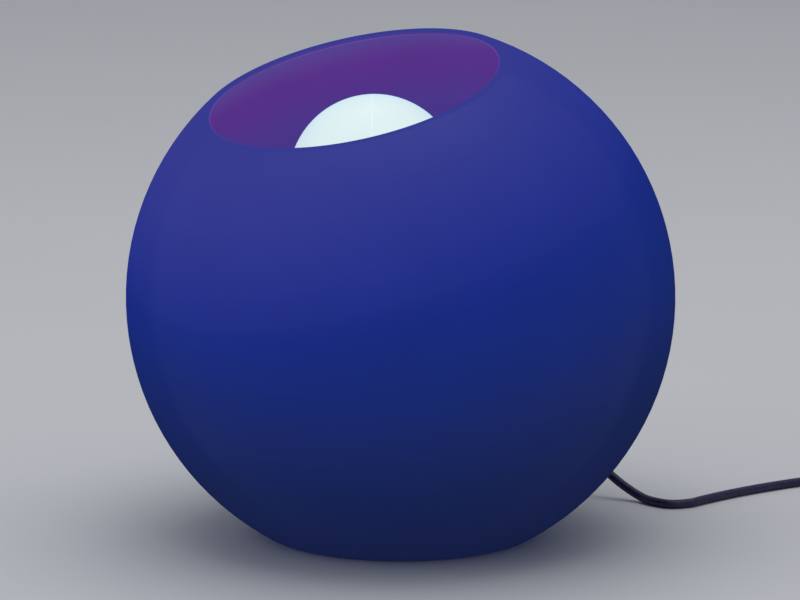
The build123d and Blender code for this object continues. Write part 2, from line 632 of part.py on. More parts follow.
LUG_IN, LUG_OUT = 6.8, 9.2
with BuildPart() as switch_upper_case:
    with BuildSketch(SWITCH.offset(SWITCH_SPLIT)):
        RectangleRounded(SWITCH_L, SWITCH_W, 7)
    extrude(amount=SWITCH_H - SWITCH_SPLIT)
    fillet(switch_upper_case.edges().group_by(Axis.Z)[-1], 2.5)
    with BuildSketch(SWITCH.offset(SWITCH_SPLIT)):
        RectangleRounded(CAVITY_L, CAVITY_W, 7 - SWITCH_SKIN)
    extrude(amount=SWITCH_H - SWITCH_SPLIT - SWITCH_SKIN, mode=Mode.SUBTRACT)
    for side in SIDES:
        block(SWITCH, (-4, 4), span(side, LUG_IN, LUG_OUT), 11.8, SWITCH_H - 1)
    with BuildSketch(SWITCH.offset(SWITCH_SPLIT)):
        with Locations(*CASE_SCREWS):
            Circle(CASE_BOSS_R)
    extrude(amount=SWITCH_H - SWITCH_SPLIT - 1)
    block(SWITCH, (-11, 11), (-6.5, 6.5), SWITCH_H - 4, SWITCH_H + 1, mode=Mode.SUBTRACT)
    bar(SWITCH_LONG, CORD_R + FIT, -SWITCH_L, SWITCH_L, at=(0, SWITCH_SPLIT), mode=Mode.SUBTRACT)
    with BuildSketch(Plane(origin=rocker_pivot, x_dir=(1, 0, 0), z_dir=(0, -1, 0))):
        Circle(1.5 + FIT)
    extrude(amount=LUG_OUT, both=True, mode=Mode.SUBTRACT)
    with BuildSketch(SWITCH.offset(SWITCH_SPLIT)):
        with Locations(*CASE_SCREWS):
            Circle(1.25 + FIT)
    extrude(amount=6, mode=Mode.SUBTRACT)
save(switch_upper_case, "switch_upper_case")

with BuildPart() as switch_rocker:
    with BuildSketch(ROCKER_SIDE):
        with BuildLine():
            crown = ThreePointArc((-10, 5.4), (0, 4.2), (10, 5.4))
            Polyline(crown @ 1, (10, 0.6), (5, -1.8), (-5, -1.8), (-10, 0.6), crown @ 0)
        make_face()
    extrude(amount=6.2, both=True)
    fillet(switch_rocker.edges().filter_by(Axis.Y).group_by(Axis.Z)[-1], 0.8)
    bar(ROCKER_SIDE, 1.5, -8.6, 8.6)
    bar(ROCKER_DOWN, 2.9, 0, 5)
    bar(ROCKER_DOWN, 1.6, -2.6, 5, mode=Mode.SUBTRACT)
save(switch_rocker, "switch_rocker")

# The sprung plunger in the rocker slides over a seesaw contact and tips it to one end or the other.
TIP_CENTRE = 6.57
SEESAW_PIN_R = 0.5
EAR_IN, EAR_OUT = 2.35, 2.85
with BuildPart() as switch_plunger:
    bar(ROCKER_DOWN, 1.5, 2.5, TIP_CENTRE)
    with Locations(Location(ROCKER_DOWN.offset(TIP_CENTRE).origin)):
        Sphere(1.5)
save(switch_plunger, "switch_plunger")

with BuildPart() as plunger_spring:
    top = ROCKER_DOWN.offset(-2.3)
    wind(top.origin, top.z_dir, 0.95, 4.5, 1.15, 0.22)
save(plunger_spring, "plunger_spring")

with BuildPart() as seesaw_contact:
    slab(SEESAW_SIDE, [(-8, -0.4), (8, -0.4), (8, 0.4), (-8, 0.4)], 2.2)
    for side in SIDES:
        bar(SEESAW_SIDE, SEESAW_PIN_R, *span(side, 1.9, EAR_OUT))
    bar(SEESAW_DOWN, 1.1, 0.2, 1, at=(6.8, 0))
save(seesaw_contact, "seesaw_contact")


def terminal(side, pole):
    """A brass terminal block with a hole for the wire and a tapped hole for its screw."""
    along = span(side, TERMINAL_IN, TERMINAL_OUT)
    across = span(pole, POLE_Y - POLE_HALF, POLE_Y + POLE_HALF)
    middle = side * (TERMINAL_IN + TERMINAL_OUT) / 2
    block(SWITCH, along, across, PLATE_LOW, TERMINAL_TOP)
    hole = span(side, TERMINAL_IN + 1, TERMINAL_OUT)
    bar(SWITCH_LONG, WIRE_R + 0.1, *hole, at=(pole * POLE_Y, POLE_WIRE_Z), mode=Mode.SUBTRACT)
    bar(SWITCH, 1.25, POLE_WIRE_Z, TERMINAL_TOP, at=(middle, pole * POLE_Y), mode=Mode.SUBTRACT)


with BuildPart() as supply_terminal:
    terminal(1, -1)
    block(SWITCH, (5.4, TERMINAL_OUT), (-5, 1.6), PLATE_LOW, PLATE_HIGH)
    bar(SWITCH, 1.3, PLATE_HIGH, 4.25, at=(6.8, 0))
save(supply_terminal, "supply_terminal")

with BuildPart() as lamp_terminal:
    terminal(-1, -1)
    block(SWITCH, (-TERMINAL_OUT, 1.3), (-5, EAR_IN), PLATE_LOW, PLATE_HIGH)
    for side in SIDES:
        block(SWITCH, (-1.3, 1.3), span(side, EAR_IN, EAR_OUT), PLATE_LOW, SEESAW_PIVOT + 0.9)
    bar(SEESAW_SIDE, SEESAW_PIN_R + FIT, -EAR_OUT, EAR_OUT, mode=Mode.SUBTRACT)
save(lamp_terminal, "lamp_terminal")

with BuildPart() as neutral_link:
    terminal(-1, 1)
    terminal(1, 1)
    block(SWITCH, (-TERMINAL_OUT, TERMINAL_OUT), (POLE_Y - 1.2, POLE_Y + 1.2), PLATE_LOW, PLATE_HIGH)
save(neutral_link, "neutral_link")

with BuildPart() as switch_clamp_screws:
    for side in SIDES:
        for pole in SIDES:
            place = (side * (TERMINAL_IN + TERMINAL_OUT) / 2, pole * POLE_Y)
            bar(SWITCH, 1.2, POLE_WIRE_Z + WIRE_R + FIT, TERMINAL_TOP, at=place)
            bar(SWITCH, 2.1, TERMINAL_TOP, TERMINAL_TOP + 1.7, at=place)
            slot = (place[0] - 2.5, place[0] + 2.5)
            across = (place[1] - 0.35, place[1] + 0.35)
            block(SWITCH, slot, across, TERMINAL_TOP + 0.9, TERMINAL_TOP + 2, mode=Mode.SUBTRACT)
save(switch_clamp_screws, "switch_clamp_screws")

with BuildPart() as cord_clamps:
    for side in SIDES:
        block(SWITCH, span(side, CLAMP_IN, CLAMP_OUT), (-6.8, 6.8), SWITCH_SPLIT + 0.3, SWITCH_SPLIT + 4)
    bar(SWITCH_LONG, CORD_R + FIT, -SWITCH_L, SWITCH_L, at=(0, SWITCH_SPLIT), mode=Mode.SUBTRACT)
save(cord_clamps, "cord_clamps")

with BuildPart() as case_screws:
    for place in CASE_SCREWS:
        bar(SWITCH, 1.25, 1, SWITCH_SPLIT + 5.5, at=place)
        bar(SWITCH, 2.1, 0.7, 2.5, at=place)
        cross = (place[0] - 1.4, place[0] + 1.4)
        block(SWITCH, cross, (place[1] - 0.3, place[1] + 0.3), 0.7, 1.5, mode=Mode.SUBTRACT)
        cross = (place[1] - 1.4, place[1] + 1.4)
        block(SWITCH, (place[0] - 0.3, place[0] + 0.3), cross, 0.7, 1.5, mode=Mode.SUBTRACT)
save(case_screws, "case_screws")


def switch_wires(pole):
    """The two short wires of one pole, from the cord ends into their terminals."""
    for side in SIDES:
        along = Vector(-side, 0, 0)
        begin = in_switch(side * SWITCH_CORD_END, pole * 1.2, SWITCH_SPLIT)
        finish = in_switch(side * (TERMINAL_OUT + 0.5), pole * POLE_Y, POLE_WIRE_Z)
        run(WIRE_R, begin, finish, tangents=(along, along))
        tail = span(side, TERMINAL_IN + 1.3, TERMINAL_OUT + 0.5)
        bar(SWITCH_LONG, WIRE_R, *tail, at=(pole * POLE_Y, POLE_WIRE_Z))


with BuildPart() as switch_live_wires:
    switch_wires(-1)
save(switch_live_wires, "switch_live_wires")

with BuildPart() as switch_neutral_wires:
    switch_wires(1)
save(switch_neutral_wires, "switch_neutral_wires")

# ---------------------------------------------------------------- plug
BRIDGE_T = 8.0
BRIDGE_HALF_W, BRIDGE_HALF_H = 13.6, 4.4
ROOM_END = PLUG_DEPTH - 6
PINS = ((-PIN_SPACING / 2, 0), (PIN_SPACING / 2, 0))
with BuildPart() as plug_body:
    half = PLUG_W / 2
    outline = [
        (-half, 0), (half, 0), (half, 11), (10, 27), (7, PLUG_DEPTH),
        (-7, PLUG_DEPTH), (-10, 27), (-half, 11),
    ]
    slab(PLUG_FLAT, outline, PLUG_T / 2)
    fillet(plug_body.edges().filter_by(Axis.Z), 2.2)
    flats = plug_body.faces().sort_by(Axis.Z)
    fillet(flats[0].edges() + flats[-1].edges(), 2)
    for groove in range(4):
        start = 14 + 3.2 * groove
        for side in SIDES:
            depth = span(side, PLUG_T / 2 - 0.6, PLUG_T / 2)
            block(PLUG, (-6.5, 6.5), depth, -start - 1.4, -start, mode=Mode.SUBTRACT)
    pocket = (-BRIDGE_HALF_W - 0.1, BRIDGE_HALF_W + 0.1)
    block(PLUG, pocket, (-4.5, 4.5), -BRIDGE_T, 0, mode=Mode.SUBTRACT)
    room = [
        (-12, BRIDGE_T), (12, BRIDGE_T), (12, 14), (6, 26), (4.5, ROOM_END),
        (-4.5, ROOM_END), (-6, 26), (-12, 14),
    ]
    slab(PLUG_FLAT, room, 3.2, mode=Mode.SUBTRACT)
    bar(PLUG, CORD_R + FIT, -PLUG_DEPTH, -ROOM_END + 1, mode=Mode.SUBTRACT)
save(plug_body, "plug_body")

with BuildPart() as plug_bridge:
    block(PLUG, (-BRIDGE_HALF_W, BRIDGE_HALF_W), (-BRIDGE_HALF_H, BRIDGE_HALF_H), -BRIDGE_T, 0)
    with BuildSketch(PLUG):
        with Locations(*PINS):
            Circle(PIN_R - 0.4 + FIT)
    extrude(amount=-BRIDGE_T, mode=Mode.SUBTRACT)
save(plug_bridge, "plug_bridge")

with BuildPart() as plug_pins:
    for place in PINS:
        bar(PLUG, PIN_R - 0.4, -BRIDGE_T - 6, PIN_SLEEVE_L, at=place)
        bar(PLUG, PIN_R, PIN_SLEEVE_L, PIN_L, at=place)
    fillet(plug_pins.edges().group_by(Axis.Y)[0], 1.2)
    for place in PINS:
        bar(PLUG, WIRE_R + 0.1, -BRIDGE_T - 6, -BRIDGE_T - 1, at=place, mode=Mode.SUBTRACT)
save(plug_pins, "plug_pins")

with BuildPart() as pin_sleeves:
    with BuildSketch(PLUG):
        with Locations(*PINS):
            Circle(PIN_R)
            Circle(PIN_R - 0.4 + FIT, mode=Mode.SUBTRACT)
    extrude(amount=PIN_SLEEVE_L)
save(pin_sleeves, "pin_sleeves")


def plug_wire(side):
    """A wire from the cord's end into the back of its pin."""
    along = Vector(0, -1, 0)
    begin = Vector(PLUG_X + side * 1.2, PLUG_Y + PLUG_CORD_END, PLUG_MID)
    finish = Vector(PLUG_X + side * PIN_SPACING / 2, PLUG_Y + BRIDGE_T + 7, PLUG_MID)
    run(WIRE_R, begin, finish, tangents=(along, along))
    bar(PLUG, WIRE_R, -BRIDGE_T - 7, -BRIDGE_T - 1.5, at=(side * PIN_SPACING / 2, 0))


with BuildPart() as plug_live_wire:
    plug_wire(-1)
save(plug_live_wire, "plug_live_wire")

with BuildPart() as plug_neutral_wire:
    plug_wire(1)
save(plug_neutral_wire, "plug_neutral_wire")

# A ribbed rubber sleeve that tapers towards the cord.
BOOT_AXIS = Axis((PLUG_X, PLUG_Y, PLUG_MID), (0, 1, 0))
BOOT_RIBS = 4
with BuildPart() as plug_boot:
    ribs = []
    for rib in range(BOOT_RIBS):
        start = PLUG_DEPTH + rib * 3.75
        radius = 5.8 - rib * 0.45
        ribs += [(radius, start), (radius, start + 2.5)]
        ribs += [(radius - 1.1, start + 2.5), (radius - 1.1, start + 3.75)]
    inside = CORD_R + FIT
    turn((inside, PLUG_DEPTH), *ribs, (inside, BOOT_END), section=PLUG_FLAT, axis=BOOT_AXIS)
save(plug_boot, "plug_boot")
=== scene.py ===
import json
import math

import bpy
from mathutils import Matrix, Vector


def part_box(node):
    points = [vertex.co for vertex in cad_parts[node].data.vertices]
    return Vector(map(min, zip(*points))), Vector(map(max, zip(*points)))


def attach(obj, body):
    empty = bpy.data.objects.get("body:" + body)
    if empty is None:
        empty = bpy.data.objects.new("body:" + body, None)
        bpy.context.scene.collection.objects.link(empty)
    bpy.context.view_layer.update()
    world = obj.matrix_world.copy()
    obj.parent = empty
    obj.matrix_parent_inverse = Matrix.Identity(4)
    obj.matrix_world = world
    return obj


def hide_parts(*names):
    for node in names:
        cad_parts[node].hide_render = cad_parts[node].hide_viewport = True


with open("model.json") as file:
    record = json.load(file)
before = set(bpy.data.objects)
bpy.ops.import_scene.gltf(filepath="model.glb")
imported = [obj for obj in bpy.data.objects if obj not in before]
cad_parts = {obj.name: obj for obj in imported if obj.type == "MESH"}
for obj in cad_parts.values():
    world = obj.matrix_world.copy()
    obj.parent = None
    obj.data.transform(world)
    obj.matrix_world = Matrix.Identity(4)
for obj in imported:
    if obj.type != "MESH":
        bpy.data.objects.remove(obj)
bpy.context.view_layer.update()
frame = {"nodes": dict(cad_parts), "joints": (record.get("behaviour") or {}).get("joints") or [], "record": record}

# Corded globe lamp. The CAD nodes carry the shapes; this script gives each one its finish, and sets up
# the floor, the soft light and the camera. Metres, +Z up; the mouth leans towards -Y.

# ---------------------------------------------------------------- where things are
joints = {joint["name"]: joint for joint in frame["joints"]}
CENTRE = Vector(joints["bulb_turn"]["pos_m"])
LEAN = Vector(joints["bulb_turn"]["axis"]).normalized()
low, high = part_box("globe_shade")
GLOBE_R = (high[0] - low[0]) / 2
low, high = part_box("bulb_diffuser")
BULB_R = (high[0] - low[0]) / 2
BULB = Vector(((low[0] + high[0]) / 2, low[1] + BULB_R, high[2] - BULB_R))

VIEW_AZ = math.radians(45.5)
VIEW_EL = math.radians(10.63)
VIEW_DISTANCE = 19 * GLOBE_R
AIM_LEFT = 0.0022 * GLOBE_R
AIM_DOWN = 0.0113 * GLOBE_R
LENS = 234.6
TOWARDS = Vector((
    math.sin(VIEW_AZ) * math.cos(VIEW_EL), -math.cos(VIEW_AZ) * math.cos(VIEW_EL), math.sin(VIEW_EL)
))
VIEW_RIGHT = Vector((math.cos(VIEW_AZ), math.sin(VIEW_AZ), 0))


def linear(red, green, blue):
    """An sRGB colour, 0 to 255, as linear values."""
    out = []
    for value in (red, green, blue):
        value /= 255
        out.append(value / 12.92 if value <= 0.04045 else ((value + 0.055) / 1.055) ** 2.4)
    return (*out, 1.0)


# ---------------------------------------------------------------- material building blocks
class Finish:
    """A material under construction: short names for the nodes that the finishes below share."""

    def __init__(self, name):
        self.material = bpy.data.materials.new(name)
        self.material.use_nodes = True
        self.tree = self.material.node_tree
        self.tree.nodes.clear()
        self.shader = self.add("ShaderNodeBsdfPrincipled")
        output = self.add("ShaderNodeOutputMaterial")
        self.tree.links.new(self.shader.outputs[0], output.inputs["Surface"])
        self.place = self.add("ShaderNodeTexCoord").outputs["Object"]

    def add(self, kind, **settings):
        node = self.tree.nodes.new(kind)
        for key, value in settings.items():
            setattr(node, key, value)
        return node

    def feed(self, socket, value):
        if isinstance(value, bpy.types.NodeSocket):
            self.tree.links.new(value, socket)
        else:
            socket.default_value = value

    def set(self, **inputs):
        for key, value in inputs.items():
            self.feed(self.shader.inputs[key.replace("_", " ")], value)

    def noise(self, scale, detail=3.0, roughness=0.55, stretch=None):
        node = self.add("ShaderNodeTexNoise")
        self.feed(node.inputs["Vector"], self.stretched(stretch))
        self.feed(node.inputs["Scale"], scale)
        self.feed(node.inputs["Detail"], detail)
        self.feed(node.inputs["Roughness"], roughness)
        return node.outputs["Fac"]

    def cells(self, scale):
        node = self.add("ShaderNodeTexVoronoi", feature="F1")
        self.feed(node.inputs["Vector"], self.place)
        self.feed(node.inputs["Scale"], scale)
        return node.outputs["Distance"]

    def stretched(self, stretch):
        if stretch is None:
            return self.place
        node = self.add("ShaderNodeVectorMath", operation="MULTIPLY")
        self.feed(node.inputs[0], self.place)
        self.feed(node.inputs[1], stretch)
        return node.outputs[0]

    def math(self, operation, a, b=0.0, clamp=False):
        node = self.add("ShaderNodeMath", operation=operation, use_clamp=clamp)
        self.feed(node.inputs[0], a)
        self.feed(node.inputs[1], b)
        return node.outputs[0]

    def dot(self, vector, direction):
        node = self.add("ShaderNodeVectorMath", operation="DOT_PRODUCT")
        self.feed(node.inputs[0], vector)
        self.feed(node.inputs[1], direction)
        return node.outputs["Value"]

    def offset(self, origin):
        node = self.add("ShaderNodeVectorMath", operation="SUBTRACT")
        self.feed(node.inputs[0], self.place)
        self.feed(node.inputs[1], origin)
        return node.outputs[0]

    def length(self, vector):
        node = self.add("ShaderNodeVectorMath", operation="LENGTH")
        self.feed(node.inputs[0], vector)
        return node.outputs["Value"]

    def span(self, value, low, high, to_low=0.0, to_high=1.0):
        node = self.add("ShaderNodeMapRange")
        for name, item in zip(
            ("Value", "From Min", "From Max", "To Min", "To Max"), (value, low, high, to_low, to_high)
        ):
            self.feed(node.inputs[name], item)
        return node.outputs[0]

    def ramp(self, value, *stops):
        node = self.add("ShaderNodeValToRGB")
        elements = node.color_ramp.elements
        while len(elements) < len(stops):
            elements.new(0.5)
        for element, (position, colour) in zip(elements, stops):
            element.position = position
            element.color = colour
        self.feed(node.inputs[0], value)
        return node.outputs[0]

    def mix(self, fac, a, b, blend="MIX"):
        node = self.add("ShaderNodeMix", data_type="RGBA", blend_type=blend)
        self.feed(node.inputs[0], fac)
        self.feed(node.inputs[6], a)
        self.feed(node.inputs[7], b)
        return node.outputs[2]

    def bump(self, height, strength, depth, under=None):
        node = self.add("ShaderNodeBump")
        self.feed(node.inputs["Height"], height)
        self.feed(node.inputs["Strength"], strength)
        self.feed(node.inputs["Distance"], depth)
        if under is not None:
            self.feed(node.inputs["Normal"], under)
        return node.outputs[0]

    def facing_away(self):
        """0 where the surface looks straight at the viewer, 1 at its outline."""
        weight = self.add("ShaderNodeLayerWeight")
        self.feed(weight.inputs["Blend"], 0.5)
        return weight.outputs["Facing"]

    def edges(self, radius):
        """1 on worn edges, 0 on flats."""
        rounded = self.add("ShaderNodeBevel", samples=4)
        self.feed(rounded.inputs["Radius"], radius)
        flat = self.add("ShaderNodeNewGeometry").outputs["Normal"]
        facing = self.dot(rounded.outputs[0], flat)
        return self.span(facing, 0.995, 0.88)


def shade(colour, factor):
    return (*[min(1.0, value * factor) for value in colour[:3]], 1.0)


def mottled(finish, colour, spread=0.12, scale=90):
    """The base colour, drifting a little lighter and darker over the piece."""
    return finish.ramp(
        finish.noise(scale, 4), (0.32, shade(colour, 1 - spread)), (0.68, shade(colour, 1 + spread))
    )


# ---------------------------------------------------------------- finishes
# The glow from the foot up to the mouth: a distance from the globe's centre along the leaning axis, in
# globe radii, and the colour there, first on the outer skin and then on the inner wall.
GLOW_OUTSIDE = (
    (-0.86, (23, 31, 67)), (-0.60, (25, 33, 71)), (-0.38, (24, 35, 78)), (-0.15, (25, 38, 95)),
    (0.05, (24, 40, 110)), (0.28, (26, 42, 126)), (0.45, (38, 49, 137)), (0.62, (46, 54, 140)),
    (0.82, (56, 59, 143)),
)
GLOW_INSIDE = (
    (-0.86, (30, 34, 96)), (0.10, (62, 52, 130)), (0.42, (76, 55, 139)), (0.55, (84, 50, 136)),
    (0.66, (90, 49, 138)), (0.74, (90, 60, 141)), (0.82, (84, 70, 149)),
)


def glow_stops(stops, gain):
    return [((position + 1) / 2, shade(linear(*colour), gain)) for position, colour in stops]


GLOW_GAIN_OUTSIDE = 0.95
GLOW_GAIN_INSIDE = 0.93
# Distances from the globe's centre, in globe radii.
INNER_WALL = (0.9800, 0.9780)
INNER_EDGE = (0.9800, 0.9775)
GROUND_EDGE = (0.9814, 0.9800)
# Heights along the leaning axis, in globe radii. The mouth lies at 0.824. The ground face of the rim carries a
# painted glint, and below it lie a painted shadow band and a painted highlight line.
GROUND_FACE = (0.8205, 0.8220)
EDGE_SHADOW_HEIGHTS = (0.8120, 0.8150)
EDGE_HIGHLIGHT_HEIGHT = 0.8085
EDGE_HIGHLIGHT_HALF_WIDTH = (0.0055, 0.0020)
# Colours of the painted shadow, the painted highlight and the painted glint at the mouth's inner edge.
EDGE_SHADOW_MAGENTA = linear(70, 40, 128)
EDGE_HIGHLIGHT_VIOLET = linear(106, 74, 158)
EDGE_GLINT_MAGENTA = linear(106, 66, 154)


def mouth_edge_light(glass, glow, from_centre, along, radius):
    """Painted light at the ground edge of the mouth: a thin painted shadow just inside it, with a painted
    highlight line below it on the wall.
    """
    near_edge = glass.span(radius, *INNER_EDGE)
    # Painted shadow: a thin dark band just inside the mouth.
    dark = glass.math("MULTIPLY", glass.span(along, *EDGE_SHADOW_HEIGHTS), near_edge)
    glow = glass.mix(glass.math("MULTIPLY", dark, 0.7), glow, EDGE_SHADOW_MAGENTA)
    # Painted highlight: a bright line on the wall below the band.
    off_line = glass.math("ABSOLUTE", glass.math("SUBTRACT", along, EDGE_HIGHLIGHT_HEIGHT))
    bright = glass.math("MULTIPLY", glass.span(off_line, *EDGE_HIGHLIGHT_HALF_WIDTH), near_edge)
    glow = glass.mix(glass.math("MULTIPLY", bright, 0.8), glow, EDGE_HIGHLIGHT_VIOLET)
    # To the left and right of the viewer, a painted glint lies on the ground face of the rim.
    nearness = glass.math("DIVIDE", glass.dot(from_centre, TOWARDS), GLOBE_R)
    beside = glass.math("MULTIPLY", glass.span(nearness, -0.05, 0.15), glass.span(nearness, 0.70, 0.45))
    ground = glass.math("MULTIPLY", glass.span(along, *GROUND_FACE), glass.span(radius, *GROUND_EDGE))
    return glass.mix(glass.math("MULTIPLY", beside, ground), glow, EDGE_GLINT_MAGENTA)


def satin_glass():
    """Dark blue satin glass, glowing from the bulb inside it."""
    glass = Finish("satin_glass")
    from_centre = glass.offset(CENTRE)
    along = glass.math("DIVIDE", glass.dot(from_centre, LEAN), GLOBE_R)
    across = glass.math("DIVIDE", glass.dot(from_centre, VIEW_RIGHT), GLOBE_R)
    radius = glass.math("DIVIDE", glass.length(from_centre), GLOBE_R)
    drift = glass.span(glass.noise(7, 3), 0.3, 0.7, -0.012, 0.012)
    height = glass.math("ADD", along, drift)
    inside = glass.ramp(glass.span(height, -1, 1), *glow_stops(GLOW_INSIDE, GLOW_GAIN_INSIDE))
    # The bands of the outer glow slope down to the viewer's left on the upper half, and up on the lower.
    slope = glass.math("MULTIPLY", across, glass.span(along, 0.0, 0.6, 0.05, -0.11))
    sloped = glass.span(glass.math("ADD", height, slope), -1, 1)
    outside = glass.ramp(sloped, *glow_stops(GLOW_OUTSIDE, GLOW_GAIN_OUTSIDE))
    # The room lights the skin too, so that light comes off the glow. Its sheen ends at grazing angles.
    grazing = glass.span(glass.facing_away(), 0.25, 0.60)
    sheen = glass.span(grazing, 0.0, 1.0, 0.105, 0.0)
    lit_by_room = glass.mix(
        glass.math("POWER", grazing, 2.0), (0.0050, 0.0053, 0.0060, 1), (0.0018, 0.0020, 0.0040, 1)
    )
    outside = glass.mix(1.0, outside, lit_by_room, "SUBTRACT")
    is_inside = glass.span(radius, *INNER_WALL)
    glow = mouth_edge_light(glass, glass.mix(is_inside, outside, inside), from_centre, along, radius)
    cloud = glass.span(glass.noise(26, 5, 0.6), 0.25, 0.75, 0.965, 1.035)
    etched = glass.noise(3200, 2, 0.7)
    speckled = glass.math("MULTIPLY", cloud, glass.span(etched, 0.3, 0.7, 0.92, 1.08))
    frost = glass.bump(etched, 0.16, 0.00012)
    frost = glass.bump(glass.noise(420, 4, 0.6), 0.05, 0.0002, frost)
    tint = glass.mix(is_inside, (0.005, 0.008, 0.036, 1), (0.016, 0.010, 0.045, 1))
    glass.set(
        Base_Color=tint, Roughness=glass.span(etched, 0.3, 0.7, 0.44, 0.56), Specular_IOR_Level=sheen,
        Emission_Color=glow, Emission_Strength=speckled, Normal=frost,
    )
    return glass.material


HIGHLIGHT_LINE_LEFT = 0.0011
HIGHLIGHT_LINE_HALF = (0.0004, 0.0001)


def opal():
    """The lit opal dome of the bulb: bluer towards its outline, with one faint painted highlight line that faces
    the viewer and is raised like a mould-parting ridge in the bump.
    """
    shell = Finish("opal_diffuser")
    # Painted highlight: a faint bright line on a plane facing the viewer, just left of the bulb's middle. The same
    # line is also raised in the bump.
    from_highlight_line = shell.dot(shell.offset(BULB - VIEW_RIGHT * HIGHLIGHT_LINE_LEFT), VIEW_RIGHT)
    highlight_and_seam = shell.span(shell.math("ABSOLUTE", from_highlight_line), *HIGHLIGHT_LINE_HALF)
    outline = shell.math("POWER", shell.facing_away(), 2.5)
    lit = shell.mix(outline, linear(211, 227, 227), linear(181, 213, 225))
    clouded = shell.span(shell.noise(60, 4), 0.3, 0.7, 0.985, 1.015)
    lit = shell.mix(shell.math("MULTIPLY", highlight_and_seam, 0.3), lit, linear(240, 248, 248))
    relief = shell.bump(shell.math("ADD", shell.noise(1500, 2), highlight_and_seam), 0.1, 0.0001)
    shell.set(
        Base_Color=(0.16, 0.17, 0.175, 1), Roughness=shell.span(shell.noise(900, 2), 0.3, 0.7, 0.38, 0.48),
        Specular_IOR_Level=0.25, Emission_Color=lit, Emission_Strength=clouded, Normal=relief,
    )
    return shell.material


def moulded(name, colour, roughness=0.5, grain=1100, depth=0.00006, spread=0.10, wear=0.35, gloss=0.5):
    """Moulded plastic: a fine spark-eroded grain, uneven gloss, edges rubbed a little paler and smoother."""
    plastic = Finish(name)
    rubbed = plastic.math("MULTIPLY", plastic.edges(0.0006), plastic.span(plastic.noise(260, 4), 0.35, 0.75))
    pits = plastic.noise(grain, 3, 0.65)
    toned = plastic.mix(
        plastic.span(pits, 0.35, 0.65, 0.0, 0.5), mottled(plastic, colour, spread), shade(colour, 1.5)
    )
    base = plastic.mix(plastic.math("MULTIPLY", rubbed, wear), toned, (0.55, 0.55, 0.56, 1))
    uneven = plastic.span(plastic.noise(70, 4), 0.3, 0.7, roughness - 0.09, roughness + 0.09)
    sheen = plastic.math("SUBTRACT", uneven, plastic.math("MULTIPLY", rubbed, 0.12))
    plastic.set(
        Base_Color=base, Roughness=sheen, Specular_IOR_Level=gloss,
        Normal=plastic.bump(pits, 0.8, 2 * depth),
    )
    return plastic.material


def metal(name, colour, tarnish, roughness, amount):
    """Plated or bare metal: fine marks, cloudy tarnish in the lows, bright edges."""
    alloy = Finish(name)
    marks = alloy.noise(700, 3, 0.7)
    cloud = alloy.span(alloy.noise(160, 5, 0.65), 0.42, 0.72)
    worn = alloy.math("MULTIPLY", alloy.edges(0.0004), 0.6)
    dulled = alloy.math("SUBTRACT", alloy.math("MULTIPLY", cloud, amount), worn, clamp=True)
    base = alloy.mix(dulled, mottled(alloy, colour, 0.08, 300), tarnish)
    drawn = alloy.span(marks, 0.3, 0.7, roughness - 0.06, roughness + 0.1)
    gloss = alloy.math("ADD", drawn, alloy.math("MULTIPLY", dulled, 0.18))
    alloy.set(Base_Color=base, Metallic=0.96, Roughness=gloss, Normal=alloy.bump(marks, 0.22, 0.00005))
    return alloy.material


def felt():
    """Dark wool felt: matted fibres in loose tufts."""
    wool = Finish("felt")
    fibres = wool.noise(900, 6, 0.75, (1, 1, 0.4))
    tufts = wool.noise(120, 4, 0.6)
    tone = wool.math("ADD", wool.math("MULTIPLY", fibres, 0.6), wool.math("MULTIPLY", tufts, 0.4))
    base = wool.ramp(tone, (0.35, (0.018, 0.019, 0.028, 1)), (0.66, (0.075, 0.078, 0.10, 1)))
    wool.set(
        Base_Color=base, Roughness=0.95, Specular_IOR_Level=0.2, Sheen_Weight=0.5, Sheen_Roughness=0.5,
        Normal=wool.bump(fibres, 0.8, 0.0004, wool.bump(tufts, 0.4, 0.0006)),
    )
    return wool.material


def enamel(name, colour, roughness, peel, chips):
    """Stove enamel or powder coat with orange peel and a few rubbed spots on the edges."""
    paint = Finish(name)
    skin = paint.noise(peel, 3, 0.5)
    patches = paint.span(paint.noise(350, 4, 0.6), 0.52, 0.62)
    rubbed = paint.math("MULTIPLY", paint.math("MULTIPLY", paint.edges(0.0008), patches), chips)
    base = paint.mix(rubbed, mottled(paint, colour, 0.05, 40), (0.30, 0.30, 0.31, 1))
    paint.set(
        Base_Color=base, Roughness=paint.span(skin, 0.3, 0.7, roughness - 0.04, roughness + 0.08),
        Specular_IOR_Level=0.5, Coat_Weight=0.25, Coat_Roughness=0.2, Normal=paint.bump(skin, 0.25, 0.00012),
    )
    return paint.material


def steatite():
    """Pressed ceramic, matt and faintly specked."""
    ceramic = Finish("steatite")
    specks = ceramic.span(ceramic.cells(420), 0.10, 0.16)
    base = ceramic.mix(specks, (0.50, 0.45, 0.36, 1), mottled(ceramic, (0.80, 0.77, 0.69, 1), 0.06, 60))
    ceramic.set(
        Base_Color=base, Roughness=ceramic.span(ceramic.noise(200, 4), 0.3, 0.7, 0.5, 0.68),
        Specular_IOR_Level=0.4, Normal=ceramic.bump(ceramic.noise(1400, 3, 0.7), 0.4, 0.00008),
    )
    return ceramic.material


def laminate(name, mask, copper, pitch):
    """Circuit board: solder mask over faint raised tracks."""
    board = Finish(name)
    tracks = board.add("ShaderNodeTexBrick")
    board.feed(tracks.inputs["Vector"], board.place)
    board.feed(tracks.inputs["Scale"], pitch)
    board.feed(tracks.inputs["Mortar Size"], 0.03)
    line = tracks.outputs["Fac"]
    base = board.mix(board.math("MULTIPLY", line, 0.35), mottled(board, mask, 0.06, 200), copper)
    weave = board.bump(board.noise(2400, 2), 0.15, 0.00003)
    board.set(
        Base_Color=base, Roughness=board.span(board.noise(500, 3), 0.3, 0.7, 0.3, 0.42),
        Normal=board.bump(line, 0.3, 0.00006, weave),
    )
    return board.material


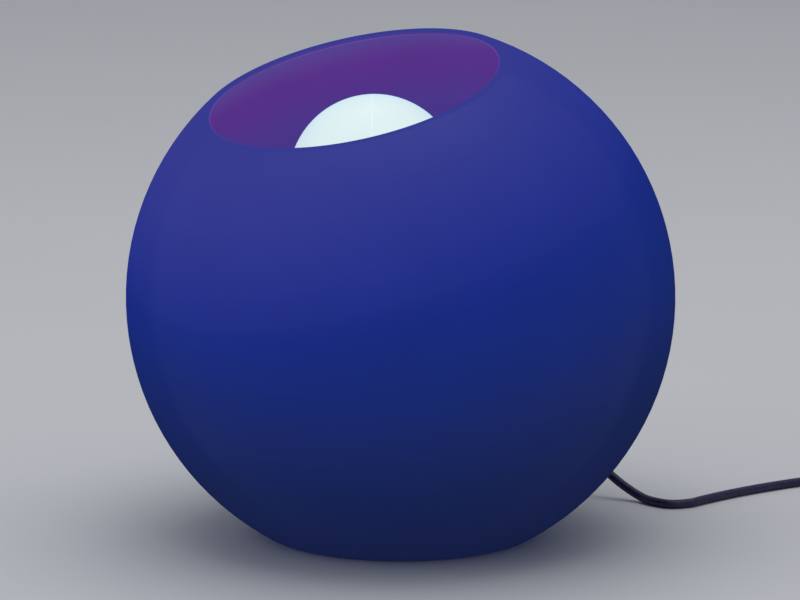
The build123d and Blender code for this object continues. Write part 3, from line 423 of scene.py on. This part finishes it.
def phosphor():
    """The yellow phosphor of the lit chips."""
    chip = Finish("led")
    grain = chip.noise(4200, 2, 0.6)
    base = chip.ramp(grain, (0.3, (0.80, 0.62, 0.14, 1)), (0.7, (0.96, 0.83, 0.32, 1)))
    chip.set(
        Base_Color=base, Roughness=0.42, Emission_Color=(0.80, 0.93, 1.0, 1),
        Emission_Strength=chip.span(grain, 0.3, 0.7, 1.1, 1.6), Normal=chip.bump(grain, 0.3, 0.00004),
    )
    return chip.material


def winding():
    """Enamelled copper wire, turn beside turn, with painted shade between the turns."""
    coil = Finish("coil_wire")
    turns = coil.add("ShaderNodeTexWave", wave_type="BANDS", bands_direction="Y")
    coil.feed(turns.inputs["Vector"], coil.place)
    coil.feed(turns.inputs["Scale"], 900)
    coil.feed(turns.inputs["Distortion"], 0.6)
    ridge_and_groove_shade = turns.outputs["Fac"]
    # Painted shade in the grooves between turns and painted highlight on their crowns. The same bands raise the
    # turns in the bump.
    base = coil.ramp(ridge_and_groove_shade, (0.1, (0.17, 0.05, 0.02, 1)), (0.8, (0.62, 0.26, 0.10, 1)))
    coil.set(
        Base_Color=base, Metallic=0.7, Roughness=coil.span(coil.noise(700, 3), 0.3, 0.7, 0.25, 0.42),
        Normal=coil.bump(ridge_and_groove_shade, 0.7, 0.0002),
    )
    return coil.material


def sheath(name, colour, twist=260, depth=0.0001, roughness=0.46):
    """Extruded flex: shallow long waves from the cores laid inside, faint die lines, dust in the lows."""
    flex = Finish(name)
    lay = flex.noise(twist, 2, 0.4)
    dust = flex.span(flex.noise(520, 5, 0.7), 0.5, 0.8, 0.0, 0.12)
    base = flex.mix(dust, mottled(flex, colour, 0.14, 50), (0.45, 0.45, 0.48, 1))
    uneven = flex.span(flex.noise(150, 4), 0.3, 0.7, roughness - 0.06, roughness + 0.08)
    fine = flex.noise(2600, 2)
    flex.set(
        Base_Color=base, Roughness=uneven, Specular_IOR_Level=0.45,
        Normal=flex.bump(fine, 0.15, 0.00003, flex.bump(lay, 0.3, depth)),
    )
    return flex.material


STEEL = (0.60, 0.61, 0.63, 1)
RUST = (0.33, 0.31, 0.29, 1)
BRASS = (0.80, 0.58, 0.24, 1)
NICKEL = (0.72, 0.70, 0.66, 1)
SPRING_STEEL = (0.50, 0.51, 0.53, 1)
CASE_BLACK = (0.026, 0.027, 0.034, 1)

FINISHES = {
    "satin_glass": satin_glass(),
    "felt": felt(),
    "black_rubber": moulded(
        "black_rubber", (0.022, 0.022, 0.026, 1), 0.68, grain=700, depth=0.00008, spread=0.2, wear=0.15,
        gloss=0.3,
    ),
    "grey_nylon": moulded("grey_nylon", (0.22, 0.22, 0.24, 1), 0.5),
    "weight_paint": enamel("weight_paint", (0.030, 0.032, 0.055, 1), 0.46, peel=520, chips=0.9),
    "stem_paint": enamel("stem_paint", (0.74, 0.75, 0.79, 1), 0.26, peel=260, chips=0.4),
    "zinc_steel": metal("zinc_steel", STEEL, RUST, roughness=0.30, amount=0.45),
    "white_phenolic": moulded(
        "white_phenolic", (0.76, 0.76, 0.73, 1), 0.34, grain=1600, depth=0.00003, spread=0.04, wear=0.1
    ),
    "steatite": steatite(),
    "brass_strip": metal("brass_strip", BRASS, (0.36, 0.22, 0.09, 1), roughness=0.27, amount=0.55),
    "nickel": metal("nickel", NICKEL, (0.42, 0.39, 0.34, 1), roughness=0.20, amount=0.35),
    "black_glass": moulded(
        "black_glass", (0.012, 0.012, 0.016, 1), 0.14, grain=500, depth=0.00003, spread=0.2, wear=0.1
    ),
    "white_housing": moulded(
        "white_housing", (0.82, 0.84, 0.86, 1), 0.30, grain=1500, depth=0.00003, spread=0.04, wear=0.1
    ),
    "opal_diffuser": opal(),
    "board": laminate("board", mask=(0.70, 0.74, 0.72, 1), copper=(0.60, 0.42, 0.20, 1), pitch=180),
    "led": phosphor(),
    "capacitor_sleeve": moulded(
        "capacitor_sleeve", (0.020, 0.030, 0.090, 1), 0.28, grain=900, depth=0.00004, spread=0.15, wear=0.2
    ),
    "coil_wire": winding(),
    "cord_sheath": sheath("cord_sheath", linear(26, 22, 70)),
    "live_wire": sheath("live_wire", (0.17, 0.062, 0.025, 1), twist=500, depth=0.00003, roughness=0.36),
    "neutral_wire": sheath("neutral_wire", (0.02, 0.09, 0.45, 1), twist=500, depth=0.00003, roughness=0.36),
    "switch_case": moulded("switch_case", CASE_BLACK, 0.52, grain=900, depth=0.00009, spread=0.12, wear=0.3),
    "switch_rocker": moulded(
        "switch_rocker", (0.030, 0.031, 0.036, 1), 0.26, grain=1800, depth=0.00002, spread=0.12
    ),
    "plunger_nylon": moulded(
        "plunger_nylon", (0.70, 0.67, 0.58, 1), 0.38, grain=1300, depth=0.00003, spread=0.05, wear=0.1
    ),
    "spring_steel": metal("spring_steel", SPRING_STEEL, (0.24, 0.22, 0.20, 1), roughness=0.28, amount=0.5),
    "plug_plastic": moulded(
        "plug_plastic", (0.024, 0.025, 0.030, 1), 0.5, grain=1000, depth=0.00008, spread=0.12, wear=0.3
    ),
    "bridge_plastic": moulded(
        "bridge_plastic", (0.08, 0.08, 0.095, 1), 0.42, grain=1300, depth=0.00004, spread=0.12, wear=0.2
    ),
}
SLOT_OF = {part["node"]: part["material_slot"] for part in frame["record"]["subparts"]}

for name, node in frame["nodes"].items():
    finish = FINISHES[SLOT_OF[name]]
    if not node.material_slots:
        node.data.materials.append(finish)
    for holder in node.material_slots:
        holder.material = finish

# ---------------------------------------------------------------- felt foot and weight pad
RINGS = 26
SPOKES = 240
ROUND_STEPS = 10
RAGGED = 0.0006
DENTED = 0.00012
FLAT_RIM = 0.004  # the dents die away over this width inside the rounded rim


def wander(angle):
    """An uneven outline, -1 to 1, for a rim cut and pressed by hand."""
    waves = ((7, 0.4), (19, 1.9), (43, 0.7), (71, 2.6))
    return sum(math.sin(count * angle + phase) for count, phase in waves) / len(waves)


def dimple(x, y):
    """How deep the pressed face is dented, 0 to 1, in dents some 7 mm across."""
    return 0.5 + 0.25 * (math.sin(x * 900 + math.sin(y * 310)) + math.sin(y * 870 + math.sin(x * 290)))


def pressed_sheet(name, node):
    """A round soft sheet where a CAD disc lies: round-edged, its rim ragged and its faces dented inward."""
    low, high = (Vector(corner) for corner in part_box(node))
    middle = (low + high) / 2
    radius = (high.x - low.x) / 2
    half = (high.z - low.z) / 2
    flat = [radius * step / RINGS for step in range(1, RINGS)]
    turns = [math.pi * (0.5 - step / ROUND_STEPS) for step in range(ROUND_STEPS + 1)]
    profile = [(r, half) for r in flat]
    profile += [(radius - half + half * math.cos(turn), half * math.sin(turn)) for turn in turns]
    profile += [(r, -half) for r in reversed(flat)]
    vertices = []
    for r, z in profile:
        for spoke in range(SPOKES):
            angle = 2 * math.pi * spoke / SPOKES
            reach = r - RAGGED * (0.5 + 0.5 * wander(angle)) * (r / radius) ** 6
            x, y = reach * math.cos(angle), reach * math.sin(angle)
            sunk = DENTED * dimple(x, y) * max(0.0, min(1.0, (radius - half - r) / FLAT_RIM))
            vertices.append((middle.x + x, middle.y + y, middle.z + z - math.copysign(sunk, z)))
    faces = [tuple(range(SPOKES))]
    for ring in range(len(profile) - 1):
        start = ring * SPOKES
        for spoke in range(SPOKES):
            after = (spoke + 1) % SPOKES
            faces.append((start + spoke, start + SPOKES + spoke, start + SPOKES + after, start + after))
    faces.append(tuple(len(vertices) - 1 - spoke for spoke in range(SPOKES)))
    mesh = bpy.data.meshes.new(name)
    mesh.from_pydata(vertices, [], faces)
    mesh.polygons.foreach_set("use_smooth", [True] * len(faces))
    mesh.materials.append(FINISHES["felt"])
    sheet = bpy.data.objects.new(name, mesh)
    bpy.context.scene.collection.objects.link(sheet)
    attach(sheet, "lamp")
    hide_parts(node)


pressed_sheet("felt_foot_pad", "foot_felt")
pressed_sheet("weight_seat_pad", "weight_pad")

# ---------------------------------------------------------------- floor, light and camera
FLOOR_REACH = 16.0

floor_mesh = bpy.data.meshes.new("floor")
corners = [(x * FLOOR_REACH, y * FLOOR_REACH, 0) for x, y in ((-1, -1), (1, -1), (1, 1), (-1, 1))]
floor_mesh.from_pydata(corners, [], [(0, 1, 2, 3)])
floor = bpy.data.objects.new("floor", floor_mesh)
bpy.context.scene.collection.objects.link(floor)
paper = Finish("pale_floor")
paper.set(
    Base_Color=mottled(paper, (0.74, 0.745, 0.76, 1), 0.012, 3), Roughness=0.62, Specular_IOR_Level=0.25,
    Normal=paper.bump(paper.noise(900, 3), 0.04, 0.0002),
)
floor_mesh.materials.append(paper.material)


def softbox(name, position, side, power):
    """A square soft light of the given side that faces the globe."""
    data = bpy.data.lights.new(name, "AREA")
    data.shape = "SQUARE"
    data.size = side
    data.energy = power
    lamp = bpy.data.objects.new(name, data)
    lamp.location = position
    lamp.rotation_euler = (CENTRE - position).to_track_quat("-Z", "Y").to_euler()
    bpy.context.scene.collection.objects.link(lamp)


LEFT_OF_VIEWER = CENTRE + TOWARDS * 1.2 - VIEW_RIGHT * 1.6 + Vector((0, 0, 0.9))
softbox("overhead", Vector((0.0, 0.1, 2.4)), side=2.4, power=22)
softbox("left", LEFT_OF_VIEWER, side=1.2, power=2.4)

world = bpy.data.worlds.new("studio")
bpy.context.scene.world = world
world.use_nodes = True
background = world.node_tree.nodes["Background"]
background.inputs["Color"].default_value = (0.80, 0.83, 0.90, 1)
background.inputs["Strength"].default_value = 0.42

camera_data = bpy.data.cameras.new("camera")
camera_data.sensor_width = 36
camera_data.lens = LENS
camera_data.clip_end = 100
camera = bpy.data.objects.new("camera", camera_data)
look_at = CENTRE - VIEW_RIGHT * AIM_LEFT - Vector((0, 0, AIM_DOWN))
camera.location = look_at + TOWARDS * VIEW_DISTANCE
camera.rotation_euler = (-TOWARDS).to_track_quat("-Z", "Y").to_euler()
bpy.context.scene.collection.objects.link(camera)
bpy.context.scene.camera = camera
bpy.context.scene.view_settings.view_transform = "Standard"
